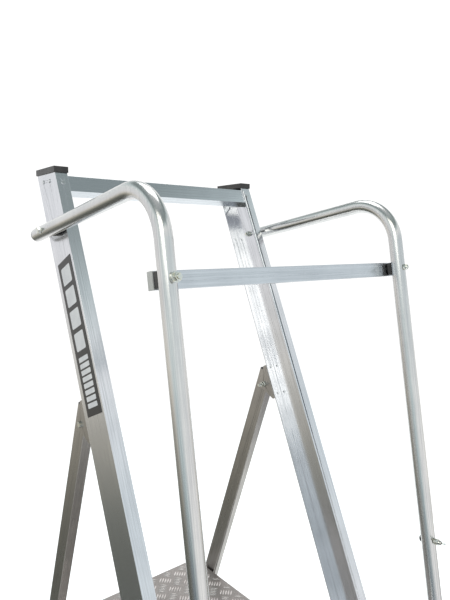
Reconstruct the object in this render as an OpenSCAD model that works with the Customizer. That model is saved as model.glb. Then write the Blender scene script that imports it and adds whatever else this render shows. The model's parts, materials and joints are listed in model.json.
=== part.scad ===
// Platform step ladder with a guard frame, all sizes in millimetres.
// The climber faces +Y. The floor is Z = 0 and the origin is the middle of the footprint.
// The front frame is fixed, and the rear legs, the deck, the safety bar and the wing nuts move.

/* [Overall] */
// Width over the outer faces of the two stiles
width = 600; // [480:5:760]
// Height of the deck's top face above the floor
platform_height = 1250; // [1000:10:1500]
// Height of the stile tops above the deck
guard_height = 1270; // [1150:10:1400]
// Backward lean of the stiles from vertical, in degrees
stile_lean = 23.2; // [20:0.1:26]
// Outward lean of the rear legs from vertical, in degrees
leg_lean = 20.2; // [18:0.1:24]

/* [Stiles] */
// Depth of the stile channel, from front flange to rear flange
stile_depth = 100; // [90:1:130]
// Width of the stile's flanges
stile_flange = 30; // [26:1:40]
// Wall of the stile channel
stile_wall = 2.5; // [2:0.1:3.5]
// Height of the plastic cap on each stile
cap_height = 14; // [10:1:20]

/* [Treads] */
// Gap between a tread's nose or back and the stile flange beside it
tread_gap = 2.2; // [1.5:0.1:6]
// Height of a tread's folded skirts
tread_skirt = 30; // [24:1:32]
// Wall of a tread
tread_wall = 2.5; // [2:0.1:3]

/* [Deck] */
// Depth of the deck, from its front edge to its rear edge
deck_depth = 780; // [600:5:800]
// Side gap between the deck and the stile flanges
deck_gap = 3; // [3:0.5:8]
// Height of the deck's folded skirts
deck_skirt = 55; // [45:1:70]
// Thickness of the chequer plate
deck_wall = 3; // [2.5:0.1:4]

/* [Handrails] */
// Outside diameter of the handrail tubes
tube_d = 32; // [28:1:38]
// Wall of the handrail tubes
tube_wall = 2; // [1.5:0.1:3]
// Radius of the tube bend, to the centre line
bend_radius = 100; // [80:1:130]
// How far the tube bend's corner stands in front of the stile tops
handrail_reach = 477; // [420:1:500]
// How far the tube bend's corner lies below the stile tops
handrail_drop = 58; // [50:1:90]
// Tilt of the bent tube in degrees: its lower run leans forward and its upper run climbs forward
handrail_tilt = 9.2; // [7:0.1:12]
// Gap between a tube and the face that it is bolted to
saddle_gap = 8; // [6:0.5:12]
// Height of the handrail joint above the deck
joint_height = 405; // [300:5:500]

/* [Safety bar] */
// Height of the safety bar's middle above the deck
bar_height = 1048; // [950:1:1060]
// Height of the safety bar's box section
bar_tall = 32; // [28:1:40]
// Thickness of the safety bar's box section
bar_thick = 16; // [12:1:20]
// Wall of the safety bar
bar_wall = 1.5; // [1.2:0.1:2]

/* [Rear legs] */
// Depth of the leg's box section
leg_depth = 45; // [40:1:55]
// Width of the leg's box section
leg_width = 24; // [20:1:25]
// Wall of the leg's box section
leg_wall = 2; // [1.6:0.1:3]
// Distance from the stile tops down the stile to the leg pivots
pivot_down = 567; // [500:1:620]
// Distance from the stile's rear face back to the leg pivots
pivot_back = 31; // [28:1:40]
// Diameter of the leg pivot bolts
pivot_d = 8; // [8:1:12]

/* [Hidden] */
$fn = 48;

// Small clearances and stock sizes
eps = 0.01;
slide_gap = 0.5;
fit_gap = 0.05;
foot_wall = 3;
foot_base = 12;
foot_tall = 60;
rivet_d = 4.8;
rivet_hole_d = rivet_d + 2 * fit_gap;
rivet_head_d = 9;
rivet_head_t = 1.6;
bolt_d = 8;
bolt_hole_d = bolt_d + 2 * fit_gap;
washer_t = 1.6;
washer_d = 18;
hex_across = 13;
hex_t = 6.5;
far = 6000;

// Heights and the side view's reference points, as [Y, Z]
top_z = platform_height + guard_height;
half = width / 2;
inner_web = half - stile_wall;
flange_tip = half - stile_flange;
pivot_n = stile_depth + pivot_back;
pivot_hole_d = pivot_d + 2 * fit_gap;
pivot_offset = 9;
foot_front = -top_z * tan(stile_lean) - foot_wall / cos(stile_lean);
pivot_rel = [
    -pivot_down * sin(stile_lean) + pivot_n * cos(stile_lean),
    -pivot_down * cos(stile_lean) - pivot_n * sin(stile_lean)
];
leg_rear_m = pivot_offset + leg_depth / 2;
foot_rear = pivot_rel[0] + (top_z + pivot_rel[1]) * tan(leg_lean)
    + (leg_rear_m + foot_wall) / cos(leg_lean);
top_y = -(foot_front + foot_rear) / 2;
pivot_y = top_y + pivot_rel[0];
pivot_z = top_z + pivot_rel[1];

// Points on the stile: s runs up the stile from its top front corner, n runs to its rear
function stile_y(s, n) = top_y + s * sin(stile_lean) + n * cos(stile_lean);
function stile_z(s, n) = top_z + s * cos(stile_lean) - n * sin(stile_lean);
function stile_s_at(z, n) = (z - top_z + n * sin(stile_lean)) / cos(stile_lean);
function front_y_at(z) = top_y + (z - top_z) * tan(stile_lean);

// Points on a rear leg: t runs up the leg from its pivot, m runs to its rear
function leg_t_at(z, m) = (z - pivot_z - m * sin(leg_lean)) / cos(leg_lean);
function leg_y(t, m) = pivot_y - t * sin(leg_lean) + m * cos(leg_lean);
function leg_z(t, m) = pivot_z + t * cos(leg_lean) + m * sin(leg_lean);

// The handrail's centre line
tube_x = half + saddle_gap + tube_d / 2;
corner_y = top_y - handrail_reach;
corner_z = top_z - handrail_drop;
tube_bore = tube_d - 2 * tube_wall;
function run_l_at(z) = (corner_z - z) / cos(handrail_tilt);
function run_y(l) = corner_y - l * sin(handrail_tilt);
function run_z(l) = corner_z - l * cos(handrail_tilt);
joint_l = run_l_at(platform_height + joint_height);
joint_pin_up = 14;
sleeve_half = 60;
// Where the lower run crosses a line n behind the stile's front face
corner_ahead = handrail_reach * cos(stile_lean) - handrail_drop * sin(stile_lean);
function cross_l(n) = (n + corner_ahead) / sin(stile_lean - handrail_tilt);
// The lower run's two bolts, as heights: they stay over the stile's web and clear of the treads
tread_count = 4;
tread_rise = platform_height / (tread_count + 1);
bolt_room = 13;
low_z_max = run_z(cross_l(26));
low_z_min = run_z(cross_l(stile_depth - 30));
near_tread = floor(low_z_max / tread_rise) * tread_rise;
next_tread_under = near_tread + tread_rise - tread_skirt - bolt_room;
low_bolts_z = low_z_max - near_tread - bolt_room >= 2 * washer_d
    ? [min(low_z_max, next_tread_under), max(low_z_min, near_tread + bolt_room)]
    : [near_tread - tread_skirt - bolt_room, low_z_min];
low_bolts_l = [for (z = low_bolts_z) run_l_at(z)];
low_end = low_bolts_l[1] + 34;
// The upper run's bolt and its rounded rear end, measured back from the corner
function upper_l(n) = (n + corner_ahead) / cos(stile_lean - handrail_tilt);
top_bolt_l = upper_l(stile_depth / 2);
top_bolt_s = -handrail_drop * cos(stile_lean) - handrail_reach * sin(stile_lean)
    + top_bolt_l * sin(stile_lean - handrail_tilt);
upper_end_l = upper_l(stile_depth + 6);

// The safety bar, in the lower run's own frame
bar_l = run_l_at(platform_height + bar_height);
bar_front = tube_d / 2 + saddle_gap;
bar_end = tube_x + 11;
bar_saddle_t = 5;
slot_w = bolt_d + 1.2;
bar_nut_t = 17;

// Treads and deck
tread_depth = (stile_depth - 2 * stile_wall) / cos(stile_lean)
    - tread_skirt * tan(stile_lean) - 2 * tread_gap;
tread_rivets_y = [-22, 22];
tread_end_t = 3;
deck_half = flange_tip - deck_gap;
deck_front_y = front_y_at(platform_height) + 5;
deck_pivot_d = 10;
deck_hole_d = deck_pivot_d + 2 * fit_gap;
deck_pivot_drop = 28;
deck_pivot_z = platform_height - deck_pivot_drop;
deck_pivot_y = front_y_at(deck_pivot_z) + stile_depth / 2 / cos(stile_lean);
support_tall = 40;
support_thick = 25;
support_top = platform_height - deck_skirt - slide_gap;
leg_in = half - stile_wall - 1 - leg_width;
leg_out = leg_in + leg_width;
lower_rail_z = 240;

// Moves children into a stile's frame: +Z runs up the stile, +Y to its rear
module on_stile(s, n) {
    translate([0, stile_y(s, n), stile_z(s, n)]) rotate([-stile_lean, 0, 0]) children();
}

// Moves children into a rear leg's frame: +Z runs up the leg, +Y to its rear
module on_leg(t, m) {
    translate([0, leg_y(t, m), leg_z(t, m)]) rotate([leg_lean, 0, 0]) children();
}

// Moves children into the lower tube run's frame: +Z runs up the tube, +Y to its rear
module on_run(l) {
    translate([0, run_y(l), run_z(l)]) rotate([-handrail_tilt, 0, 0]) children();
}

// Moves children into the upper tube run's frame: +Z runs back along the tube, +Y downwards
module on_upper(l) {
    translate([0, corner_y, corner_z]) rotate([-90 - handrail_tilt, 0, 0])
        translate([0, 0, l]) children();
}

module left_side() {
    mirror([1, 0, 0]) children();
}

module both_sides() {
    children();
    left_side() children();
}

// Cylinder along X from x1 to x2
module rod_x(x1, x2, d) {
    translate([x1, 0, 0]) rotate([0, 90, 0]) cylinder(h = x2 - x1, d = d);
}

// Cylinder along Y from y1 to y2
module rod_y(y1, y2, d) {
    translate([0, y1, 0]) rotate([-90, 0, 0]) cylinder(h = y2 - y1, d = d);
}

module hex_x(x1, x2, across) {
    translate([x1, 0, 0]) rotate([0, 90, 0])
        cylinder(h = x2 - x1, d = across / cos(30), $fn = 6);
}

module hex_y(y1, y2, across) {
    translate([0, y1, 0]) rotate([-90, 0, 0])
        cylinder(h = y2 - y1, d = across / cos(30), $fn = 6);
}

// Rivet along X: its shank from x1 to x2, a low domed head at x2 and a flat tail at x1
module rivet_x(x1, x2) {
    rod_x(x1, x2, rivet_d);
    rod_x(x2, x2 + rivet_head_t, rivet_head_d);
    rod_x(x1 - rivet_head_t, x1, rivet_d + 2);
}

// Rivet along Y, with its head at y1 and its tail at y2
module rivet_y(y1, y2) {
    rod_y(y1, y2, rivet_d);
    rod_y(y1 - rivet_head_t, y1, rivet_head_d);
    rod_y(y2, y2 + rivet_head_t, rivet_d + 2);
}

// C profile with its web on the +X side at x = 0 and its open side towards -X
module channel_profile(depth, flange, wall) {
    difference() {
        translate([-flange, 0]) square([flange, depth]);
        translate([-flange - 1, wall]) square([flange + 1 - wall, depth - 2 * wall]);
    }
}

// Keeps what lies between two heights
module between_heights(z1, z2) {
    intersection() {
        children();
        translate([-far / 2, -far / 2, z1]) cube([far, far, z2 - z1]);
    }
}

// ---- Front frame ----

// Repeats children at each tread rivet on the right-hand stile
module tread_rivet_places() {
    for (i = [1 : tread_count])
        for (dy = tread_rivets_y)
            translate([0, tread_mid_y(i) + dy, i * tread_rise - tread_skirt / 2]) children();
}

function tread_mid_y(i) = front_y_at(i * tread_rise - tread_skirt / 2)
    + stile_depth / 2 / cos(stile_lean);

top_rail_n = stile_wall;
top_rail_thick = 30;
top_rail_tall = 40;
top_rail_s = -6;
cleat_t = 2.5;
rail_rivet_x = flange_tip + 14;
cleat_rivets_n = [38, 72];
cleat_rivet_z = 18;
bracket_t = 3;
bracket_top = pivot_down - 50;
bracket_bottom = pivot_down + 48;
bracket_rivets = [bracket_top + 8, bracket_bottom - 12];
bracket_rivet_x = flange_tip + 15;
spare_s = top_bolt_s + 3;
spare_n = stile_depth / 2 - 17;

module stile() {
    difference() {
        between_heights(foot_base, top_z)
            on_stile(-far / 2 - 500, 0) translate([half, 0, 0])
                linear_extrude(height = far / 2 + 700)
                    channel_profile(stile_depth, stile_flange, stile_wall);
        // Holes for the fixings
        on_upper(top_bolt_l) rod_x(inner_web - 1, half + 1, bolt_hole_d);
        for (l = low_bolts_l)
            on_run(l) rod_x(inner_web - 1, half + 1, bolt_hole_d);
        translate([0, deck_pivot_y, deck_pivot_z])
            rod_x(inner_web - 1, half + 1, deck_hole_d);
        tread_rivet_places() rod_x(inner_web - 1, half + 1, rivet_hole_d);
        for (n = cleat_rivets_n)
            translate([0, cleat_rivet_y(n), top_z - cleat_rivet_z])
                rod_x(inner_web - 1, half + 1, rivet_hole_d);
        on_stile(top_rail_s - top_rail_tall / 2, 0) translate([rail_rivet_x, 0, 0])
            rod_y(-1, stile_wall + 1, rivet_hole_d);
        for (s = concat(-bracket_rivets, [spare_s]))
            on_stile(s, stile_depth) translate([bracket_rivet_x, 0, 0])
                rod_y(-stile_wall - 1, 1, rivet_hole_d);
        on_stile(spare_s, spare_n) rod_x(inner_web - 1, half + 1, rivet_hole_d);
    }
}

// Y of a cleat rivet that lies n behind the front face at the cleat rivets' height
function cleat_rivet_y(n) = front_y_at(top_z - cleat_rivet_z) + n / cos(stile_lean);

module stile_left() {
    color("silver") left_side() stile();
}

module stile_right() {
    color("silver") stile();
}

module stile_cap() {
    cap_over = 2.5;
    cap_y = stile_depth / cos(stile_lean);
    translate([flange_tip - cap_over, top_y - cap_over, top_z])
        cube([stile_flange + 2 * cap_over, cap_y + 2 * cap_over, cap_height]);
    // Plug that reaches down inside the channel, clear of its walls
    between_heights(top_z - 10, top_z + 1)
        on_stile(-60, stile_wall + top_rail_thick + slide_gap)
            translate([flange_tip, 0, 0])
                cube([stile_flange - stile_wall - cleat_t - 2 * slide_gap,
                    stile_depth - 2 * stile_wall - top_rail_thick - 2 * slide_gap, 160]);
}

module stile_cap_left() {
    color("dimgray") left_side() stile_cap();
}

module stile_cap_right() {
    color("dimgray") stile_cap();
}

// Rubber foot: a tilted sleeve cut level at the floor, with a cavity for the channel's end
module stile_foot() {
    s0 = stile_s_at(0, 0);
    difference() {
        between_heights(0, foot_tall)
            on_stile(s0, -foot_wall) translate([flange_tip - foot_wall, 0, -200])
                cube([stile_flange + 2 * foot_wall, stile_depth + 2 * foot_wall, 400]);
        between_heights(foot_base, foot_tall + 1)
            on_stile(s0, 0) translate([flange_tip, 0, -200])
                cube([stile_flange, stile_depth, 400]);
    }
}

module stile_foot_left() {
    color("black") left_side() stile_foot();
}

module stile_foot_right() {
    color("black") stile_foot();
}

module top_rail() {
    rail_half = inner_web - cleat_t;
    color("silver") difference() {
        on_stile(top_rail_s - top_rail_tall, top_rail_n)
            translate([-rail_half, 0, 0]) difference() {
                cube([2 * rail_half, top_rail_thick, top_rail_tall]);
                translate([-1, 2, 2])
                    cube([2 * rail_half + 2, top_rail_thick - 4, top_rail_tall - 4]);
            }
        both_sides() on_stile(top_rail_s - top_rail_tall / 2, 0)
            translate([rail_rivet_x, 0, 0]) rod_y(-1, stile_wall + 3, rivet_hole_d);
    }
}

module top_rail_cleats() {
    color("silver") both_sides() difference() {
        between_heights(top_z - 52, top_z - 10.5)
            on_stile(-120, stile_wall + slide_gap) translate([inner_web - cleat_t, 0, 0])
                cube([cleat_t, stile_depth - 2 * stile_wall - 2 * slide_gap, 200]);
        for (n = cleat_rivets_n)
            translate([0, cleat_rivet_y(n), top_z - cleat_rivet_z])
                rod_x(inner_web - cleat_t - 1, inner_web + 1, rivet_hole_d);
    }
}

module top_rail_rivets() {
    color("gray") both_sides() {
        for (n = cleat_rivets_n)
            translate([0, cleat_rivet_y(n), top_z - cleat_rivet_z])
                rivet_x(inner_web - cleat_t, half);
        on_stile(top_rail_s - top_rail_tall / 2, 0) translate([rail_rivet_x, 0, 0])
            rivet_y(0, stile_wall + 2);
    }
}

// One tread: a ribbed top, two skirts and two end plates
module tread(i) {
    rib_pitch = 8;
    rib_t = 1.5;
    tread_half = inner_web;
    z_top = i * tread_rise;
    y0 = tread_mid_y(i) - tread_depth / 2;
    color("silver") difference() {
        union() {
            translate([-tread_half, y0, z_top - tread_wall - rib_t])
                cube([2 * tread_half, tread_depth, tread_wall]);
            for (y = [0, tread_depth - tread_wall])
                translate([-tread_half, y0 + y, z_top - tread_skirt])
                    cube([2 * tread_half, tread_wall, tread_skirt - rib_t]);
            for (y = [4 : rib_pitch : tread_depth - 4])
                translate([-tread_half, y0 + y - rib_t, z_top - rib_t - eps])
                    cube([2 * tread_half, 2 * rib_t, rib_t + eps]);
            for (x = [-tread_half, tread_half - tread_end_t])
                translate([x, y0, z_top - tread_skirt])
                    cube([tread_end_t, tread_depth, tread_skirt - rib_t]);
        }
        for (dy = tread_rivets_y)
            translate([0, tread_mid_y(i) + dy, z_top - tread_skirt / 2])
                rod_x(-half, half, rivet_hole_d);
    }
}

module tread_1() {
    tread(1);
}

module tread_2() {
    tread(2);
}

module tread_3() {
    tread(3);
}

module tread_4() {
    tread(4);
}

module tread_rivets() {
    color("gray") both_sides() tread_rivet_places() rivet_x(inner_web - tread_end_t, half);
}

// ---- Handrails ----

// Upper run, quarter bend and lower run of the bent tube, drawn round the bend's centre
module bent_rod(d, extra) {
    translate([0, corner_y, corner_z]) rotate([90, 0, 90]) rotate([0, 0, -handrail_tilt])
        translate([bend_radius, -bend_radius, 0]) {
            translate([0, bend_radius, 0]) rotate([0, 90, 0])
                cylinder(h = upper_end_l - bend_radius + extra, d = d);
            rotate([0, 0, 90]) rotate_extrude(angle = 90) translate([bend_radius, 0]) circle(d = d);
            translate([-bend_radius, 0, 0]) rotate([90, 0, 0])
                cylinder(h = joint_l - bend_radius + extra, d = d);
        }
}

module handrail() {
    translate([tube_x, 0, 0]) difference() {
        bent_rod(tube_d, 0);
        bent_rod(tube_bore, 1);
        on_run(joint_l - joint_pin_up) rod_y(-tube_d, tube_d, bolt_hole_d);
        on_run(bar_l) rod_y(-tube_d, tube_d, bolt_hole_d);
        on_upper(top_bolt_l) rod_x(-tube_d, tube_d, bolt_hole_d);
    }
}

module handrail_left() {
    color("lightgray") left_side() handrail();
}

module handrail_right() {
    color("lightgray") handrail();
}

// Lower tube with the sleeve that plugs into the bent tube
module handrail_lower() {
    sleeve_d = tube_bore - 2 * fit_gap;
    difference() {
        translate([tube_x, 0, 0]) {
            on_run(low_end) cylinder(h = low_end - joint_l, d = tube_d);
            on_run(joint_l + sleeve_half) cylinder(h = 2 * sleeve_half, d = sleeve_d);
        }
        translate([tube_x, 0, 0]) {
            on_run(low_end + 1) cylinder(h = low_end - joint_l - sleeve_half + 1, d = tube_bore);
            on_run(joint_l + sleeve_half + 1)
                cylinder(h = 2 * sleeve_half + 2, d = sleeve_d - 2 * tube_wall);
            on_run(joint_l - joint_pin_up) rod_y(-tube_d, tube_d, bolt_hole_d);
            for (l = low_bolts_l)
                on_run(l) rod_x(-tube_d, tube_d, bolt_hole_d);
        }
    }
}

module handrail_lower_left() {
    color("lightgray") left_side() handrail_lower();
}

module handrail_lower_right() {
    color("lightgray") handrail_lower();
}

// Domed plugs in the upper tube ends, flat ones in the lower ends
module handrail_plugs() {
    plug_d = tube_bore - 2 * fit_gap;
    upper_plug_l = 12;
    lower_plug_l = 15;
    rim_t = 4;
    color("gray") both_sides() translate([tube_x, 0, 0]) {
        on_upper(upper_end_l) intersection() {
            sphere(d = tube_d);
            cylinder(h = tube_d, d = tube_d + 1);
        }
        on_upper(upper_end_l - upper_plug_l) cylinder(h = upper_plug_l + rim_t, d = plug_d);
        on_run(low_end + rim_t) cylinder(h = rim_t, d = tube_d);
        on_run(low_end + rim_t / 2) cylinder(h = lower_plug_l + rim_t / 2, d = plug_d);
    }
}

// Spacer between a tube and a flat face: a block hollowed to the tube's curve
module saddle_block(gap, w, tall) {
    difference() {
        translate([-w / 2, 0, -tall / 2]) cube([w, gap + 4, tall]);
        translate([0, gap + tube_d / 2, -tall]) cylinder(h = 2 * tall, d = tube_d);
        rod_y(-1, gap + 5, bolt_hole_d);
    }
}

module side_saddle() {
    saddle_w = 22;
    saddle_l = 20;
    translate([half, 0, 0]) rotate([0, 0, -90]) saddle_block(saddle_gap, saddle_w, saddle_l);
}

module handrail_saddles() {
    color("black") both_sides() {
        on_upper(top_bolt_l) side_saddle();
        for (l = low_bolts_l)
            on_run(l) side_saddle();
    }
}

// One bolt through a tube and a stile web, with its head on the tube's outer side
module tube_bolt() {
    tail = 6;
    head_x = tube_x + tube_d / 2;
    rod_x(inner_web - washer_t - hex_t - tail, head_x + eps, bolt_d);
    rod_x(head_x, head_x + washer_t, washer_d - 4);
    hex_x(head_x + washer_t, head_x + washer_t + hex_t, hex_across);
}

module handrail_bolts() {
    color("silver") both_sides() {
        on_upper(top_bolt_l) tube_bolt();
        for (l = low_bolts_l)
            on_run(l) tube_bolt();
    }
}

module nut_x(x2) {
    difference() {
        union() {
            rod_x(x2 - washer_t, x2, washer_d - 2);
            hex_x(x2 - washer_t - hex_t, x2 - washer_t, hex_across);
        }
        rod_x(x2 - 20, x2 + 1, bolt_hole_d);
    }
}

module handrail_nuts() {
    color("gray") both_sides() {
        on_upper(top_bolt_l) nut_x(inner_web);
        for (l = low_bolts_l) on_run(l) nut_x(inner_web);
    }
}

// Domed bolts that clamp each handrail joint, with their heads on the deck's side
module joint_bolts() {
    color("dimgray") both_sides() translate([tube_x, 0, 0]) on_run(joint_l - joint_pin_up) {
        rod_y(-tube_d / 2 - 16, tube_d / 2 + eps, bolt_d);
        translate([0, tube_d / 2, 0]) rotate([-90, 0, 0]) intersection() {
            translate([0, 0, -6]) sphere(d = 22);
            cylinder(h = 12, d = 18);
        }
    }
}

// Wing nut: a round hub with two upright lobes, left standing a little off level
module wing_nut() {
    hub_d = 14;
    lobe_t = 3.5;
    lobe_d = 12;
    lobe_turn = 28;
    translate([tube_x, 0, 0]) on_run(joint_l - joint_pin_up)
        translate([0, -tube_d / 2 - slide_gap, 0]) rotate([0, lobe_turn, 0]) difference() {
            union() {
                rod_y(-10, 0, hub_d);
                for (side = [-1, 1]) {
                    translate([side * 8 - 4, -15, -lobe_t / 2]) cube([8, 12, lobe_t]);
                    translate([side * 10, -15, -lobe_t / 2]) cylinder(h = lobe_t, d = lobe_d);
                }
            }
            rod_y(-30, 1, bolt_hole_d);
        }
}

module wing_nut_left() {
    color("gray") left_side() wing_nut();
}

module wing_nut_right() {
    color("gray") wing_nut();
}

// ---- Safety bar ----

// Pivot bolt through the left tube: its head is behind the bar and its nut is in front
module bar_bolt() {
    color("silver") translate([-tube_x, 0, 0]) on_run(bar_l) {
        rod_y(-tube_d / 2 - bar_nut_t - 3, bar_front + bar_thick + slide_gap, bolt_d);
        hex_y(bar_front + bar_thick + slide_gap, bar_front + bar_thick + slide_gap + 5, hex_across);
    }
}

// Flanged nut on a round stand-off collar, in front of the left tube
module bar_nut() {
    collar_t = 8;
    flange_t = 2;
    color("silver") translate([-tube_x, 0, 0]) on_run(bar_l) difference() {
        translate([0, -tube_d / 2, 0]) union() {
            rod_y(-collar_t, 0, 15);
            rod_y(-collar_t - flange_t, -collar_t, 19);
            hex_y(-bar_nut_t, -collar_t - flange_t, hex_across);
        }
        rod_y(-60, 0, bolt_hole_d);
    }
}

module bar_saddles() {
    color("black") for (x = [-tube_x, tube_x])
        translate([x, 0, 0]) on_run(bar_l)
            translate([0, tube_d / 2 + bar_saddle_t, 0]) rotate([0, 0, 180])
                saddle_block(bar_saddle_t, 24, bar_tall - 4);
}

module bar_washers() {
    color("dimgray") for (x = [-tube_x, tube_x])
        translate([x, 0, 0]) on_run(bar_l) difference() {
            rod_y(tube_d / 2 + bar_saddle_t, bar_front - fit_gap, 20);
            rod_y(0, bar_front + 1, bolt_hole_d);
        }
}

// Bolt through the right tube that the bar's slot swings up to, clamped by its flanged head
module bar_catch_bolt() {
    head_y = bar_front + bar_thick + slide_gap;
    flange_t = 2;
    color("silver") translate([tube_x, 0, 0]) on_run(bar_l) {
        rod_y(-tube_d / 2 - 6, head_y, bolt_d);
        rod_y(head_y, head_y + flange_t, 17);
        hex_y(head_y + flange_t, head_y + flange_t + 5, hex_across);
    }
}

module bar_catch_nut() {
    color("silver") translate([tube_x, 0, 0]) on_run(bar_l) difference() {
        union() {
            hex_y(-tube_d / 2 - 5, -tube_d / 2, hex_across);
            translate([0, -tube_d / 2 - 5, 0]) intersection() {
                sphere(d = 12);
                rod_y(-10, 0, 20);
            }
        }
        rod_y(-tube_d / 2 - 6, 0, bolt_hole_d);
    }
}

module safety_bar() {
    color("lightgray") on_run(bar_l) difference() {
        translate([-bar_end, bar_front, -bar_tall / 2]) difference() {
            cube([2 * bar_end, bar_thick, bar_tall]);
            translate([-1, bar_wall, bar_wall])
                cube([2 * bar_end + 2, bar_thick - 2 * bar_wall, bar_tall - 2 * bar_wall]);
        }
        translate([-tube_x, 0, 0]) rod_y(0, 2 * bar_front + bar_thick, bolt_hole_d);
        // Slot, open upwards, that leaves the catch bolt as the bar swings down
        translate([tube_x, 0, 0]) rod_y(0, 2 * bar_front + bar_thick, slot_w);
        translate([tube_x - slot_w / 2, 0, 0]) cube([slot_w, 2 * bar_front + bar_thick, bar_tall]);
    }
}

module safety_bar_caps() {
    cap_t = 3;
    plug = bar_end - tube_x - slot_w / 2 - 1;
    color("gray") on_run(bar_l) both_sides() {
        translate([bar_end, bar_front, -bar_tall / 2]) cube([cap_t, bar_thick, bar_tall]);
        translate([bar_end - plug, bar_front + bar_wall + fit_gap, -bar_tall / 2 + bar_wall + fit_gap])
            cube([plug, bar_thick - 2 * bar_wall - 2 * fit_gap, bar_tall - 2 * bar_wall - 2 * fit_gap]);
    }
}

// ---- Leg brackets ----

// Folded U bracket on the stile's rear flange, whose two cheeks hold the pivot bolt
module leg_bracket() {
    nose = 15;
    cheek_in = leg_in - 1 - bracket_t;
    difference() {
        on_stile(0, stile_depth + eps) {
            translate([cheek_in, 0, -bracket_bottom])
                cube([half - cheek_in, bracket_t, bracket_bottom - bracket_top]);
            for (x = [cheek_in, half - bracket_t])
                translate([x, 0, 0]) rotate([90, 0, 90]) linear_extrude(height = bracket_t)
                    bracket_outline(nose);
        }
        translate([0, pivot_y, pivot_z])
            rod_x(cheek_in - 1, half + 1, pivot_hole_d);
        for (s = bracket_rivets)
            on_stile(-s, stile_depth) translate([bracket_rivet_x, 0, 0])
                rod_y(-1, bracket_t + 1, rivet_hole_d);
    }
}

// The cheek's outline: x runs back from the flange, y runs up the stile
module bracket_outline(nose) {
    translate([pivot_back, -pivot_down]) circle(r = nose);
    polygon([
        [0, -bracket_top], [10, -bracket_top],
        [pivot_back + nose * 0.8, -pivot_down + nose * 0.6],
        [pivot_back + nose * 0.8, -pivot_down - nose * 0.6],
        [8, -bracket_bottom], [0, -bracket_bottom]
    ]);
}

module leg_bracket_left() {
    color("gray") left_side() leg_bracket();
}

module leg_bracket_right() {
    color("gray") leg_bracket();
}

module bracket_rivets() {
    color("gray") both_sides() for (s = bracket_rivets)
        on_stile(-s, stile_depth) translate([bracket_rivet_x, 0, 0]) {
            rod_y(-stile_wall, bracket_t + 2 * eps, rivet_d);
            rod_y(bracket_t + 2 * eps, bracket_t + rivet_head_t, rivet_head_d);
            rod_y(-stile_wall - 2, -stile_wall, rivet_d + 2);
        }
}

module leg_pivot_bolts() {
    color("silver") both_sides() translate([0, pivot_y, pivot_z]) {
        rod_x(leg_in - 1 - bracket_t - 20, half + eps, pivot_d);
        hex_x(half, half + 5.3, hex_across);
    }
}

module leg_pivot_nuts() {
    x2 = leg_in - 1 - bracket_t;
    color("gray") both_sides() translate([0, pivot_y, pivot_z]) difference() {
        union() {
            hex_x(x2 - 8, x2 - washer_t, hex_across);
            rod_x(x2 - washer_t, x2, washer_d - 2);
        }
        rod_x(x2 - 20, x2 + 1, pivot_hole_d);
    }
}

// Small rivets beside the handrail's top bolt: one in the web and one in the rear flange
module stile_rivets() {
    color("gray") both_sides() {
        on_stile(spare_s, spare_n) rivet_x(inner_web, half);
        on_stile(spare_s, stile_depth) translate([bracket_rivet_x, 0, 0])
            mirror([0, 1, 0]) rivet_y(0, stile_wall);
    }
}

// Plain rating plate on the left stile, without lettering
module label_plate() {
    plate_w = 75;
    plate_l = 360;
    color("dimgray") on_stile(-200 - plate_l, (stile_depth - plate_w) / 2 - 4)
        translate([-half - 0.6, 0, 0]) cube([0.6, plate_w, plate_l]);
}

// ---- Rear frame ----

leg_top_t = 36;
brace_t = 3;
brace_w = 25;
brace_low_z = lower_rail_z + 60;
brace_high_z = support_top - support_tall - 60;

// Cuts the top of a leg back so that it clears the bracket when the ladder stands open
module clear_of_stile() {
    difference() {
        children();
        on_stile(-2 * pivot_down, 0)
            cube([width, stile_depth + bracket_t + 1, 4 * pivot_down]);
    }
}

module rear_leg() {
    bottom_t = leg_t_at(0, 0) - leg_depth;
    clear_of_stile() difference() {
        between_heights(foot_base, top_z)
            on_leg(bottom_t, pivot_offset - leg_depth / 2) translate([leg_in, 0, 0]) difference() {
                cube([leg_width, leg_depth, leg_top_t - bottom_t]);
                translate([leg_wall, leg_wall, -1])
                    cube([leg_width - 2 * leg_wall, leg_depth - 2 * leg_wall,
                        leg_top_t - bottom_t + 2]);
            }
        translate([0, pivot_y, pivot_z]) rod_x(leg_in - 1, leg_out + 1, pivot_hole_d);
        for (place = rail_rivet_places)
            translate([0, place[0], place[1]]) rod_x(leg_in - 1, leg_in + leg_wall + 1, rivet_hole_d);
        for (side = [-1, 1])
            for (z = [brace_low_z, brace_high_z])
                on_leg(leg_t_at(z, 0), pivot_offset)
                    translate([leg_in + leg_width / 2, side * leg_depth / 2, 0])
                        rod_y(-leg_wall - 1, leg_wall + 1, rivet_hole_d);
    }
}

// Middle of the leg's side face at height z
function leg_mid_y(z) = leg_y(leg_t_at(z, pivot_offset), pivot_offset);
support_mid_z = support_top - support_tall / 2;
rail_rivet_places = [
    for (z = [support_mid_z, lower_rail_z]) for (dz = [-10, 10]) [leg_mid_y(z), z + dz]
];

module rear_leg_left() {
    color("gray") left_side() rear_leg();
}

module rear_leg_right() {
    color("gray") rear_leg();
}

// Spacer tubes inside the legs that carry the pivot bolts
module leg_bushes() {
    color("silver") both_sides() translate([0, pivot_y, pivot_z]) difference() {
        rod_x(leg_in + leg_wall, leg_out - leg_wall, 16);
        rod_x(leg_in, leg_out, pivot_hole_d);
    }
}

module leg_top_plugs() {
    plug = 10;
    color("black") both_sides() clear_of_stile()
        on_leg(leg_top_t, pivot_offset - leg_depth / 2) {
        translate([leg_in, 0, 0]) cube([leg_width, leg_depth, 3]);
        translate([leg_in + leg_wall + fit_gap, leg_wall + fit_gap, -plug])
            cube([leg_width - 2 * (leg_wall + fit_gap), leg_depth - 2 * (leg_wall + fit_gap), plug]);
    }
}

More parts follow.
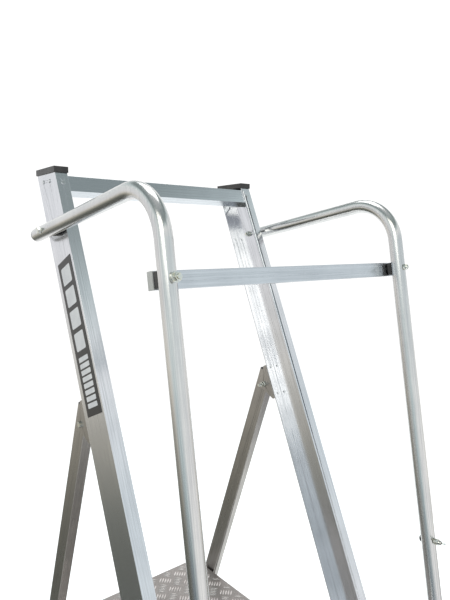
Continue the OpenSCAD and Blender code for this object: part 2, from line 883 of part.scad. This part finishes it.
module rear_foot() {
    m0 = pivot_offset - leg_depth / 2;
    t0 = leg_t_at(0, m0);
    difference() {
        between_heights(0, foot_tall)
            on_leg(t0, m0 - foot_wall) translate([leg_in - foot_wall, 0, -200])
                cube([leg_width + 2 * foot_wall, leg_depth + 2 * foot_wall, 400]);
        between_heights(foot_base, foot_tall + 1)
            on_leg(t0, m0) translate([leg_in, 0, -200]) cube([leg_width, leg_depth, 400]);
    }
}

module rear_foot_left() {
    color("black") left_side() rear_foot();
}

module rear_foot_right() {
    color("black") rear_foot();
}

// Box rail between the legs, closed by end plates that are riveted to the leg webs
module cross_rail(mid_z) {
    end_t = 3;
    wall = 2;
    color("silver") difference() {
        translate([-leg_in, leg_mid_y(mid_z) - support_thick / 2, mid_z - support_tall / 2])
            cube([2 * leg_in, support_thick, support_tall]);
        translate([-leg_in + end_t, leg_mid_y(mid_z) - support_thick / 2 + wall,
            mid_z - support_tall / 2 + wall])
            cube([2 * leg_in - 2 * end_t, support_thick - 2 * wall, support_tall - 2 * wall]);
        for (dz = [-10, 10])
            translate([0, leg_mid_y(mid_z), mid_z + dz])
                both_sides() rod_x(leg_in - end_t - 1, leg_in + 1, rivet_hole_d);
    }
}

module support_rail() {
    cross_rail(support_mid_z);
}

module lower_rail() {
    cross_rail(lower_rail_z);
}

// Flat diagonal across the legs; side -1 lies on their front flanges, side 1 on their rear
module rear_brace(side) {
    x = leg_in + leg_width / 2;
    t1 = leg_t_at(brace_low_z, 0);
    t2 = leg_t_at(brace_high_z, 0);
    run = sqrt(pow(2 * x, 2) + pow(t2 - t1, 2));
    tilt = atan2(t2 - t1, 2 * x);
    face = side * leg_depth / 2 - (side < 0 ? brace_t : 0);
    color("silver") on_leg(t1, pivot_offset) translate([-side * x, face, 0])
        rotate([0, -side * tilt + (side < 0 ? 180 : 0), 0]) difference() {
            translate([-14, 0, -brace_w / 2]) cube([run + 28, brace_t, brace_w]);
            for (r = [0, run]) translate([r, 0, 0]) rod_y(-1, brace_t + 1, rivet_hole_d);
        }
}

module rear_brace_a() {
    rear_brace(-1);
}

module rear_brace_b() {
    rear_brace(1);
}

module rear_frame_rivets() {
    x = leg_in + leg_width / 2;
    color("gray") {
        both_sides() for (place = rail_rivet_places)
            translate([0, place[0], place[1]]) rivet_x(leg_in - 3, leg_in + leg_wall);
        for (side = [-1, 1])
            for (end = [0, 1]) {
                z = end == 0 ? brace_low_z : brace_high_z;
                across = (end == 0 ? -1 : 1) * side * x;
                y = side * leg_depth / 2;
                on_leg(leg_t_at(z, 0), pivot_offset) translate([across, 0, 0])
                    mirror([0, side > 0 ? 1 : 0, 0])
                        rivet_y(-leg_depth / 2 - brace_t, -leg_depth / 2 + leg_wall);
            }
    }
}

// ---- Deck ----

module deck() {
    color("tan") difference() {
        translate([-deck_half, deck_front_y, platform_height - deck_skirt])
            cube([2 * deck_half, deck_depth, deck_skirt]);
        translate([-deck_half + deck_wall, deck_front_y + deck_wall,
            platform_height - deck_skirt - 1])
            cube([2 * (deck_half - deck_wall), deck_depth - 2 * deck_wall,
                deck_skirt + 1 - deck_wall]);
        translate([0, deck_pivot_y, deck_pivot_z])
            rod_x(-far / 2, far / 2, deck_hole_d);
    }
}

// Stiffening ribs under the chequer plate
module deck_ribs() {
    rib_tall = 30;
    rib_t = 25;
    color("silver") for (f = [0.35, 0.8])
        translate([-deck_half + deck_wall, deck_front_y + f * deck_depth,
            platform_height - deck_wall - rib_tall])
            difference() {
                cube([2 * (deck_half - deck_wall), rib_t, rib_tall]);
                translate([-1, 2, -1]) cube([2 * deck_half + 2, rib_t - 4, rib_tall - 1]);
            }
}

module deck_hinge_bolts() {
    color("silver") both_sides() translate([0, deck_pivot_y, deck_pivot_z]) {
        rod_x(deck_half - deck_wall - 14, half + eps, deck_pivot_d);
        hex_x(half, half + 6.4, 16);
    }
}

module deck_hinge_nuts() {
    x2 = deck_half - deck_wall - slide_gap;
    color("gray") both_sides() translate([0, deck_pivot_y, deck_pivot_z]) difference() {
        hex_x(x2 - 9, x2, 16);
        rod_x(x2 - 20, x2 + 1, deck_hole_d);
    }
}

module deck_hinge_spacers() {
    color("gray") both_sides() translate([0, deck_pivot_y, deck_pivot_z]) difference() {
        rod_x(deck_half + slide_gap, inner_web, 20);
        rod_x(0, half, deck_hole_d);
    }
}

stile_left();
stile_right();
stile_cap_left();
stile_cap_right();
stile_foot_left();
stile_foot_right();
top_rail();
top_rail_cleats();
top_rail_rivets();
tread_1();
tread_2();
tread_3();
tread_4();
tread_rivets();
handrail_left();
handrail_right();
handrail_lower_left();
handrail_lower_right();
handrail_plugs();
handrail_saddles();
handrail_bolts();
handrail_nuts();
joint_bolts();
wing_nut_left();
wing_nut_right();
bar_bolt();
bar_nut();
bar_saddles();
bar_washers();
bar_catch_bolt();
bar_catch_nut();
safety_bar();
safety_bar_caps();
leg_bracket_left();
leg_bracket_right();
bracket_rivets();
leg_pivot_bolts();
leg_pivot_nuts();
stile_rivets();
label_plate();
rear_leg_left();
rear_leg_right();
leg_bushes();
leg_top_plugs();
rear_foot_left();
rear_foot_right();
support_rail();
lower_rail();
rear_brace_a();
rear_brace_b();
rear_frame_rivets();
deck();
deck_ribs();
deck_hinge_bolts();
deck_hinge_nuts();
deck_hinge_spacers();
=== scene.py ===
# %% [markdown]
# # A platform step ladder in a bright studio
# We start from the ladder's engineering model, which already has every piece at its real size.
# Here we give each piece its finish, add the small formed details, and light it.
# The first step loads the model and counts its pieces.

import json
import math
import bmesh
import bpy
from mathutils import Matrix, Vector


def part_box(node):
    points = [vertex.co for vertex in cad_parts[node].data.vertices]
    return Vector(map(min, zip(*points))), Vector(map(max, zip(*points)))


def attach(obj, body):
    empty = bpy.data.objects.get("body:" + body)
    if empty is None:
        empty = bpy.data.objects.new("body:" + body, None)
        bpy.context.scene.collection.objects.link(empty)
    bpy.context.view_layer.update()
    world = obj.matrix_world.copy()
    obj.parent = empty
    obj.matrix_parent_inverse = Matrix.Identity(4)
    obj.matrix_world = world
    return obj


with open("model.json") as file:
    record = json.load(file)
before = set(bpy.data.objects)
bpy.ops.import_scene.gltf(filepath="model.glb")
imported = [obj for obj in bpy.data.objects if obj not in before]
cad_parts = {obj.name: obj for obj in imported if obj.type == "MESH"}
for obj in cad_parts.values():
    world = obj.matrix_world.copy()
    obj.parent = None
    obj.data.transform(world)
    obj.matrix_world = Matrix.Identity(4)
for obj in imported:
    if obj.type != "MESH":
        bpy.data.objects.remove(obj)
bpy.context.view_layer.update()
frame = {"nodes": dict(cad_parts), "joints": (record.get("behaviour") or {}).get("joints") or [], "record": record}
nodes = frame["nodes"]
record = frame["record"]
print("pieces in the model:", len(nodes))

# %% [markdown]
# ## Colours and nodes
# Colours are easier to read as the hex codes that paint charts use. The renderer wants linear
# light, so one function turns them. A second small function adds a shader node, sets its
# values and wires its inputs in one go.

# %% Two helpers for every finish
MM = 0.001


def linear(hex_colour):
    """The linear RGBA value of a paint-chart hex colour."""
    parts = [int(hex_colour[i:i + 2], 16) / 255 for i in (0, 2, 4)]
    return [p / 12.92 if p <= 0.04045 else ((p + 0.055) / 1.055) ** 2.4 for p in parts] + [1.0]


def add_node(tree, kind, wires=None, **settings):
    """Adds a shader node. Settings are its options or input values, wires are its inputs."""
    node = tree.nodes.new("ShaderNode" + kind)
    for name, value in settings.items():
        if hasattr(node, name):
            setattr(node, name, value)
        else:
            node.inputs[name.replace("_", " ")].default_value = value
    for name, output in (wires or {}).items():
        tree.links.new(output, node.inputs[name])
    return node


def ramp(tree, factor, stops):
    """A colour ramp through (position, hex colour) stops."""
    node = add_node(tree, "ValToRGB", {"Fac": factor})
    band = node.color_ramp
    while len(band.elements) < len(stops):
        band.elements.new(0.5)
    for element, (position, hex_colour) in zip(band.elements, stops):
        element.position = position
        element.color = linear(hex_colour)
    return node


print("silver grey in linear light:", [round(c, 3) for c in linear("c4c6c8")])

# %% [markdown]
# ## The viewpoint
# We stand on the climber's side, a metre in front of the handrails and a little to their left,
# with our eyes level with the upper part of the guard frame. The view looks slightly down.
# The lens is a mild wide angle, which is why the near tube looks so much bigger than the far one.

# %% Camera
camera_data = bpy.data.cameras.new("viewpoint")
camera_data.lens = 32.8
camera_data.sensor_width = 36.0
camera = bpy.data.objects.new("viewpoint", camera_data)
camera.location = (-0.81, -1.027, 2.352)
camera.rotation_euler = [math.radians(a) for a in (84.25, 0.0, -39.3)]
bpy.context.scene.collection.objects.link(camera)
bpy.context.scene.camera = camera
bpy.context.view_layer.update()
view_direction = camera.matrix_world.to_quaternion() @ Vector((0, 0, -1))
print("looking along", [round(c, 2) for c in view_direction])

# %% [markdown]
# ## The studio
# Bare aluminium has almost no colour of its own: it shows the room. So the room matters more
# here than the metal does. We paint it as three walls, each a ramp from the floor to the
# ceiling, and blend them round the compass. The left wall is warm and falls to a dull olive
# floor. The wall behind us is cool, with a blue-grey floor. The wall in front of the treads, on
# the right, has a bright window down to the floor. Beyond the ladder everything is white.
# These walls are what run along the tubes as light and dark bands.

# %% Room
scene = bpy.context.scene
scene.view_settings.view_transform = "Standard"
scene.view_settings.look = "None"
scene.view_settings.exposure = 0.0
world = bpy.data.worlds.new("studio room")
scene.world = world
world.use_nodes = True
room = world.node_tree
room.nodes.clear()
direction = add_node(room, "TexCoord").outputs["Generated"]
height = add_node(room, "SeparateXYZ", {"Vector": direction}).outputs["Z"]
height_share = add_node(room, "MapRange", {"Value": height}, From_Min=-1.0, From_Max=1.0)
CEILING = [(0.84, "86908f"), (0.90, "98a4a5"), (1.0, "c9cccd")]
WALLS = {
    "left": [(0.0, "4a4b46"), (0.20, "5a5c57"), (0.275, "73756e"), (0.34, "b5b1a5"),
             (0.41, "e9e6df"), (0.50, "f6f6f8"), (0.70, "f6fafa"), (0.78, "dbe8e9")],
    "behind": [(0.0, "2c3038"), (0.25, "4f5b70"), (0.33, "93a0a4"), (0.40, "cddde0"),
               (0.50, "e2ecee"), (0.65, "e8f0f0"), (0.76, "c9d3d4")],
    "window": [(0.0, "b4b4bc"), (0.25, "f4f4fa"), (0.32, "ffffff"), (0.45, "ffffff"),
               (0.56, "e9f1f4"), (0.63, "dce6ea"), (0.756, "ffffff"), (0.79, "d8e6e7")],
}
# Compass direction of each blended wall, and where its light starts and is full
SPREAD = {"behind": ((-0.63, -0.77, 0.0), 0.15, 0.9), "window": ((0.36, -0.93, 0.0), 0.1, 0.96)}


def towards(tree, wall, low, high):
    """How far the looked-at direction points to a wall, from 0 to 1."""
    match = add_node(tree, "VectorMath", {0: direction}, operation="DOT_PRODUCT")
    match.inputs[1].default_value = wall
    return add_node(tree, "MapRange", {"Value": match.outputs["Value"]},
                    interpolation_type="SMOOTHSTEP", From_Min=low, From_Max=high)


painted = ramp(room, height_share.outputs["Result"], WALLS["left"] + CEILING)
for wall, (compass, low, high) in SPREAD.items():
    share = towards(room, compass, low, high)
    tones = ramp(room, height_share.outputs["Result"], WALLS[wall] + CEILING)
    painted = add_node(room, "MixRGB", {"Fac": share.outputs["Result"],
                                        "Color1": painted.outputs["Color"],
                                        "Color2": tones.outputs["Color"]})
# The white sheet beyond the ladder fades in between these two matches with the view
FADE_START, FADE_END = 0.66, 0.80
backdrop = towards(room, view_direction, FADE_START, FADE_END)
white_room = add_node(room, "MixRGB", {"Fac": backdrop.outputs["Result"],
                                       "Color1": painted.outputs["Color"]})
white_room.inputs["Color2"].default_value = linear("ffffff")
background = add_node(room, "Background", {"Color": white_room.outputs["Color"]}, Strength=1.1)
add_node(room, "OutputWorld", {"Surface": background.outputs["Background"]})

# %% [markdown]
# The floor is a sheet of white paper. It glows a little by itself, which stands for the light
# that a real studio throws on its background, so only a faint shadow shows.

# %% Floor and lamps


def principled(name, **settings):
    """A new material with its main shader node, and the tree to add detail to."""
    material = bpy.data.materials.new(name)
    material.use_nodes = True
    tree = material.node_tree
    tree.nodes.clear()
    shader = add_node(tree, "BsdfPrincipled", **settings)
    add_node(tree, "OutputMaterial", {"Surface": shader.outputs["BSDF"]})
    return material, tree, shader


paper, paper_tree, paper_shader = principled("studio paper", Base_Color=linear("fbfbfb"),
                                             Roughness=0.9, Emission_Color=linear("ffffff"),
                                             Emission_Strength=0.6)
paper_grain = add_node(paper_tree, "TexNoise", Scale=60.0, Detail=3.0)
paper_tone = ramp(paper_tree, paper_grain.outputs["Fac"], [(0.3, "f7f7f7"), (0.7, "ffffff")])
paper_tree.links.new(paper_tone.outputs["Color"], paper_shader.inputs["Base Color"])
# The paper is 3.6 m wide and runs 8 m away from us, so the dark floor shows on both sides of it
paper_half = 1.8
paper_near = -1
paper_far = 8
ahead = Vector((view_direction.x, view_direction.y, 0)).normalized()
aside = Vector((ahead.y, -ahead.x, 0))
start = Vector((camera.location.x, camera.location.y, 0))
corners = [start + ahead * run + aside * side
           for run, side in ((paper_near, -paper_half), (paper_near, paper_half),
                             (paper_far, paper_half), (paper_far, -paper_half))]
floor_mesh = bpy.data.meshes.new("floor")
floor_mesh.from_pydata(corners, [], [(0, 1, 2, 3)])
floor_mesh.materials.append(paper)
floor = bpy.data.objects.new("floor", floor_mesh)
scene.collection.objects.link(floor)


def softbox(name, place, target, size, power, hex_colour):
    """A square lamp with a soft edge, aimed at a point on the ladder."""
    data = bpy.data.lights.new(name, "AREA")
    data.shape = "RECTANGLE"
    data.size, data.size_y = size
    data.energy = power
    data.color = linear(hex_colour)[:3]
    lamp = bpy.data.objects.new(name, data)
    lamp.location = place
    aim = Vector(target) - Vector(place)
    lamp.rotation_euler = aim.to_track_quat("-Z", "Y").to_euler()
    scene.collection.objects.link(lamp)
    return lamp


guard_middle = (0.0, 0.0, 2.1)
softbox("key", (-2.6, -2.4, 4.2), guard_middle, (2.4, 2.4), 40, "fffaf0")
softbox("top", (0.4, 0.6, 5.0), guard_middle, (2.0, 2.0), 30, "ffffff")
print("paper is %.1f m wide, lit by two lamps" % (2 * paper_half))

# %% [markdown]
# ## Aluminium, drawn and extruded
# The stiles, rails and legs are extruded: hot metal is pushed through a shaped hole, and the
# hole leaves fine lines along the length. So the lines on a leaning stile lean with it. We turn
# the pattern by the piece's own lean, stretch it along the length, and let it vary how sharply
# the metal reflects. Real die lines are about 0.2 mm apart. We draw them 2 to 5 mm apart, because
# finer ones wouldn't show from here. A second, patchy pattern stands for handling marks. The deck
# and the treads have no single direction that shows, so their pattern isn't drawn out.

# %% Aluminium


def along_length(tree, lean, stretch, across):
    """Pattern coordinates drawn out up a piece with that lean, or sideways if across is true."""
    place = add_node(tree, "TexCoord").outputs["Object"]
    upright = add_node(tree, "VectorRotate", {"Vector": place}, rotation_type="X_AXIS",
                       Angle=math.radians(lean))
    drawn = add_node(tree, "VectorMath", {0: upright.outputs["Vector"]}, operation="MULTIPLY")
    along = 1.0 / stretch
    drawn.inputs[1].default_value = (along, 1.0, 1.0) if across else (1.0, 1.0, along)
    return place, drawn.outputs["Vector"]


# Share of handling patches in the metal's pattern. The rest is die lines
PATCHINESS = 0.35


def aluminium(name, hex_light, hex_dark, smooth, rough, lean=0.0, stretch=60.0, line_mm=2.0,
              across=False):
    """Bare aluminium with die lines along its length and dull patches from handling."""
    material, tree, shader = principled(name, Metallic=1.0)
    place, drawn = along_length(tree, lean, stretch, across)
    lines = add_node(tree, "TexNoise", {"Vector": drawn}, Scale=1 / (line_mm * MM), Detail=2.0)
    patches = add_node(tree, "TexNoise", {"Vector": place}, Scale=14.0, Detail=4.0)
    mixed = add_node(tree, "MixRGB", {"Color1": lines.outputs["Fac"],
                                      "Color2": patches.outputs["Fac"]}, Fac=PATCHINESS)
    tone = ramp(tree, mixed.outputs["Color"], [(0.3, hex_dark), (0.7, hex_light)])
    gloss = add_node(tree, "MapRange", {"Value": mixed.outputs["Color"]}, From_Min=0.3,
                     From_Max=0.7, To_Min=rough, To_Max=smooth)
    dents = add_node(tree, "Bump", {"Height": lines.outputs["Fac"]}, Strength=0.04,
                     Distance=0.1 * MM)
    tree.links.new(tone.outputs["Color"], shader.inputs["Base Color"])
    tree.links.new(gloss.outputs["Result"], shader.inputs["Roughness"])
    tree.links.new(dents.outputs["Normal"], shader.inputs["Normal"])
    return material


# The stile's lean comes from its own box. The rear frame folds by the sum of both leans
hinges = {joint["name"]: joint for joint in frame["joints"]}
stile_low, stile_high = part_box("stile_left")
# The stile is 100 mm deep, which is 109 mm when measured level, because it leans
level_depth = 109 * MM
stile_lean = math.degrees(math.atan2(stile_high.y - stile_low.y - level_depth,
                                     stile_high.z - stile_low.z))
leg_lean = hinges["rear_frame_fold"]["range_deg"][1] - stile_lean
handrail_lean = 9.2
print("stiles lean %.1f degrees, legs %.1f degrees" % (stile_lean, leg_lean))

# Clear semi-mirror metal of the stiles: it shows the room in long soft bands
stile_metal = aluminium("extruded_aluminium", "e0e1e4", "c4c6ca", 0.16, 0.27, lean=stile_lean)
# The legs are duller and darker, so they read grey against the stiles
leg_metal = aluminium("leg_aluminium", "b4b1ad", "94918e", 0.24, 0.36, lean=-leg_lean)
# Rails across the ladder: their lines run sideways
rail_metal = aluminium("rail_aluminium", "d5d8dc", "b9bdc2", 0.18, 0.28, line_mm=3.0, across=True)
# Drawn and polished tube: the brightest metal here
tube_metal = aluminium("drawn_tube", "dcdbd8", "b9babc", 0.16, 0.26, lean=handrail_lean)

# %% [markdown]
# ## Steel, plastic and rubber
# The bolts, nuts and washers are steel with a bright zinc plate: a touch bluer than aluminium,
# with a faint yellow bloom. The joint bolts are blackened. The caps, saddles and tube plugs are
# moulded plastic, whose skin takes a fine grain from the mould. The feet are ribbed rubber.

# %% Steel, plastic and rubber


def plated(name, hex_cool, hex_warm, roughness):
    """Plated steel: a bright metal whose colour drifts a little from place to place."""
    material, tree, shader = principled(name, Metallic=1.0, Roughness=roughness)
    place = add_node(tree, "TexCoord").outputs["Object"]
    bloom = add_node(tree, "TexNoise", {"Vector": place}, Scale=220.0, Detail=3.0)
    tone = ramp(tree, bloom.outputs["Fac"], [(0.35, hex_cool), (0.7, hex_warm)])
    wear = add_node(tree, "MapRange", {"Value": bloom.outputs["Fac"]},
                    To_Min=roughness * 0.7, To_Max=roughness * 1.4)
    tree.links.new(tone.outputs["Color"], shader.inputs["Base Color"])
    tree.links.new(wear.outputs["Result"], shader.inputs["Roughness"])
    return material


def moulded(name, hex_base, hex_worn, roughness, grain_mm=0.6, bump=0.25):
    """Moulded plastic: a fine pebbled skin, a little paler where hands have rubbed it."""
    material, tree, shader = principled(name, Roughness=roughness, IOR=1.46)
    place = add_node(tree, "TexCoord").outputs["Object"]
    grain = add_node(tree, "TexNoise", {"Vector": place}, Scale=1 / (grain_mm * MM), Detail=2.0)
    rubbed = add_node(tree, "TexNoise", {"Vector": place}, Scale=30.0, Detail=4.0)
    tone = ramp(tree, rubbed.outputs["Fac"], [(0.4, hex_base), (0.75, hex_worn)])
    skin = add_node(tree, "Bump", {"Height": grain.outputs["Fac"]}, Strength=bump,
                    Distance=0.1 * MM)
    tree.links.new(tone.outputs["Color"], shader.inputs["Base Color"])
    tree.links.new(skin.outputs["Normal"], shader.inputs["Normal"])
    return material


zinc = plated("zinc_steel", "cdd3d4", "d9d6c4", 0.22)
black_steel = plated("blackened_steel", "2c2d30", "4a4845", 0.34)
rivet_metal = plated("rivet_aluminium", "d6d8da", "c2c4c4", 0.24)
cap_plastic = moulded("cap_plastic", "2a2929", "3d3b3a", 0.36)
plug_plastic = moulded("plug_plastic", "5a5c5e", "74777a", 0.42)
bar_end_plastic = moulded("bar_end_plastic", "b4b4b1", "c4c4c2", 0.45)

rubber, rubber_tree, rubber_shader = principled("foot_rubber", Roughness=0.75, IOR=1.52)
rubber_place = add_node(rubber_tree, "TexCoord").outputs["Object"]
# Ribs round the foot, 12 mm apart, that give the rubber its grip. A wave of scale 1 repeats
# every tau / 20 metres
rib_pitch = 12 * MM
ribs = add_node(rubber_tree, "TexWave", {"Vector": rubber_place}, bands_direction="Z",
                Scale=math.tau / 20 / rib_pitch, Distortion=0.3)
# The grooves between the ribs are coloured darker than the rib tops: painted shade in the grooves
rib_painted_shade_tone = ramp(rubber_tree, ribs.outputs["Fac"], [(0.2, "141414"), (0.8, "242424")])
rubber_skin = add_node(rubber_tree, "Bump", {"Height": ribs.outputs["Fac"]}, Strength=0.5,
                       Distance=0.8 * MM)
rubber_tree.links.new(rib_painted_shade_tone.outputs["Color"], rubber_shader.inputs["Base Color"])
rubber_tree.links.new(rubber_skin.outputs["Normal"], rubber_shader.inputs["Normal"])

# %% [markdown]
# ## The label
# A black film is stuck to the left stile. It is glossy, a little wavy where air was trapped under
# it, and printed with plain pale blocks. We keep it free of any lettering.

# %% Film and print
film = moulded("label_film", "1f1e20", "2a292b", 0.36, grain_mm=9.0, bump=0.15)
print_ink = moulded("label_print", "cfcfd2", "dededf", 0.38, grain_mm=1.5, bump=0.1)

# %% [markdown]
# ## The deck plate
# Five-bar chequer plate is rolled between patterned drums. The ground stays satin, and its darker
# colour is painted shade between the bars. The raised bars are rubbed smooth by shoes, so they get a
# smoother metal, and their lighter colour is a painted highlight.

# %% Chequer plate
# The ground is coloured darker than the bars: painted shade between the raised bars
plate_metal_painted_shade = aluminium("chequer_plate", "c0b8b5", "a19a97", 0.36, 0.50, stretch=1.0,
                        line_mm=5.0)
# The bars are coloured lighter than the ground: a painted highlight on them. Their lower roughness is real wear
bar_metal_painted_highlight = aluminium("chequer_bars", "f0eae7", "ddd6d3", 0.22, 0.32, stretch=1.0, line_mm=5.0)
tread_metal = aluminium("tread_aluminium", "d8dadb", "bcbec0", 0.22, 0.34, stretch=1.0,
                        line_mm=3.0)

# %% [markdown]
# ## Giving every piece its finish
# The record names a material for each piece, and most pieces take it. The stiles need their own,
# because their lines lean with them, and so do the safety bar's pale end caps.

# %% Finishes by piece
FINISHES = {
    "mill_aluminium": rail_metal, "bright_tube": tube_metal, "leg_aluminium": leg_metal,
    "foot_rubber": rubber, "cap_plastic": cap_plastic, "plug_plastic": plug_plastic,
    "zinc_steel": zinc, "dark_steel": black_steel, "rivet_aluminium": rivet_metal,
    "chequer_plate": plate_metal_painted_shade, "tread_aluminium": tread_metal, "label_print": film,
}
OWN_FINISH = {"stile_left": stile_metal, "stile_right": stile_metal,
              "safety_bar_caps": bar_end_plastic}
slot_of = {part["node"]: part["material_slot"] for part in record["subparts"]}
for name, piece in nodes.items():
    finish = OWN_FINISH.get(name, FINISHES[slot_of[name]])
    piece.data.materials.clear()
    piece.data.materials.append(finish)
print("finishes given to", len(nodes), "pieces")

# %% [markdown]
# ## Softened edges
# No real edge is perfectly sharp. Extruded corners have a radius of about half a millimetre, and
# each rounded corner catches a thin line of light. A moulded cap is rounder, and a rivet's head
# is a low dome, so those get a wider rounding.

# %% Edges
ROUNDING_MM = {"cap_plastic": 1.2, "plug_plastic": 1.0, "foot_rubber": 1.5,
               "rivet_aluminium": 0.7, "zinc_steel": 0.6, "dark_steel": 0.6}
NOT_ROUNDED = ("handrail_left", "handrail_right", "handrail_lower_left", "handrail_lower_right")
for name, piece in nodes.items():
    if name in NOT_ROUNDED:
        continue
    weld = piece.modifiers.new("weld", "WELD")
    weld.merge_threshold = 0.01 * MM
    edge = piece.modifiers.new("edge", "BEVEL")
    edge.width = ROUNDING_MM.get(slot_of[name], 0.5) * MM
    edge.segments = 2
    edge.limit_method = "ANGLE"
    edge.angle_limit = math.radians(35)
    edge.harden_normals = False
print("edges rounded on", len(nodes) - len(NOT_ROUNDED), "pieces")

# %% [markdown]
# ## Raised bars on the deck
# The bars stand in groups of five, and each group lies across its neighbours, so that a shoe
# grips in every direction. A group is 41 mm square and lies at 45 degrees to the deck's
# edges. One bar is 26 mm long, 5 mm wide and 1.2 mm high, with tapered ends like a lentil's.

# %% Chequer bars


def new_piece(name, mesh, material, body):
    """Puts a finished mesh in the scene and lets it ride on one of the ladder's bodies."""
    mesh.materials.append(material)
    piece = bpy.data.objects.new(name, mesh)
    scene.collection.objects.link(piece)
    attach(piece, body)
    return piece


def lens_bar(middle, angle, length, width, tall):
    """Corners and faces of one raised bar: a pointed outline that rises to a ridge."""
    steps = 4
    outline = []
    for side in (1, -1):
        for k in range(steps):
            share = -1 + 2 * k / steps if side > 0 else 1 - 2 * k / steps
            outline.append((share * length / 2, side * width / 2 * (1 - share * share)))
    ring = outline + [(0.62 * x, 0.45 * y) for x, y in outline]
    turn = Matrix.Rotation(angle, 3, "Z")
    points = []
    for index, (x, y) in enumerate(ring):
        rise = 0.0 if index < len(outline) else tall
        points.append(Vector(middle) + turn @ Vector((x, y, rise)))
    count = len(outline)
    faces = [(k, (k + 1) % count, count + (k + 1) % count, count + k) for k in range(count)]
    faces.append(tuple(range(count, 2 * count)))
    return points, [face[::-1] for face in faces]


deck_low, deck_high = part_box("deck")
group = 41 * MM
bar_size = (26 * MM, 5 * MM, 1.2 * MM)
bars_in_group = 5
margin = 3 * MM
points, faces = [], []
bars_made = 0
reach = int((deck_high - deck_low).length / group) + 2
centre = Vector(((deck_low.x + deck_high.x) / 2, (deck_low.y + deck_high.y) / 2, deck_high.z))
for row in range(-reach, reach):
    for column in range(-reach, reach):
        lies_along = (row + column) % 2 == 0
        angle = math.radians(45 if lies_along else -45)
        along = Vector((math.cos(angle), math.sin(angle), 0))
        sideways = Vector((-along.y, along.x, 0))
        middle = centre + Vector((row - column, row + column, 0)) * group / math.sqrt(2)
        for bar in range(-(bars_in_group // 2), bars_in_group // 2 + 1):
            place = middle + sideways * bar * group / bars_in_group
            ends = [place + along * end * bar_size[0] / 2 for end in (-1, 1)]
            inside = all(deck_low.x + margin < p.x < deck_high.x - margin
                         and deck_low.y + margin < p.y < deck_high.y - margin for p in ends)
            if not inside:
                continue
            new_points, new_faces = lens_bar(place, angle, *bar_size)
            faces += [tuple(len(points) + i for i in face) for face in new_faces]
            points += new_points
            bars_made += 1
bars_mesh = bpy.data.meshes.new("chequer_bars")
bars_mesh.from_pydata(points, [], faces)
new_piece("chequer_bars", bars_mesh, bar_metal_painted_highlight, "deck_body")
print("raised bars on the deck:", bars_made)

# %% [markdown]
# ## Blocks on the label
# The print is four wide blocks above eight narrow ones, flat faces with rounded corners that sit a
# tenth of a millimetre off the film. They stand for printed words without being any.

# %% Label blocks
plate_low, plate_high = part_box("label_plate")
up_stile = Vector((0, math.sin(math.radians(stile_lean)), math.cos(math.radians(stile_lean))))
to_rear = Vector((0, math.cos(math.radians(stile_lean)), -math.sin(math.radians(stile_lean))))
plate_middle = (plate_low + plate_high) / 2
outer_face = plate_low.x - 0.1 * MM
plate_length = 360 * MM
plate_width = 75 * MM


def block(mesh, low, high, radius):
    """A flat printed block with rounded corners, given as shares of the plate's size."""
    ring = []
    for (u, v), start in (((high[0], high[1]), 0), ((low[0], high[1]), 90),
                          ((low[0], low[1]), 180), ((high[0], low[1]), 270)):
        sign_u = 1 if start in (0, 270) else -1
        sign_v = 1 if start in (0, 90) else -1
        for step in range(4):
            turn = math.radians(start + 30 * step)
            across = u * plate_width + radius * (math.cos(turn) - sign_u)
            along = v * plate_length + radius * (math.sin(turn) - sign_v)
            spot = plate_middle + to_rear * across + up_stile * along
            spot.x = outer_face
            ring.append(mesh.verts.new(spot))
    mesh.faces.new(ring)


print_mesh = bmesh.new()
# How many, first top edge, spacing and height as shares of the length, and corner radius
BLOCK_ROWS = ((4, 0.455, 0.145, 0.115, 4 * MM), (8, -0.135, 0.041, 0.030, 2 * MM))
block_half = 0.33
for count, first, spacing, tall, radius in BLOCK_ROWS:
    for index in range(count):
        top = first - spacing * index
        block(print_mesh, (-block_half, top - tall), (block_half, top), radius)
blocks_mesh = bpy.data.meshes.new("label_blocks")
print_mesh.to_mesh(blocks_mesh)
print_mesh.free()
new_piece("label_blocks", blocks_mesh, print_ink, "front_frame")
print("label blocks:", len(blocks_mesh.polygons))
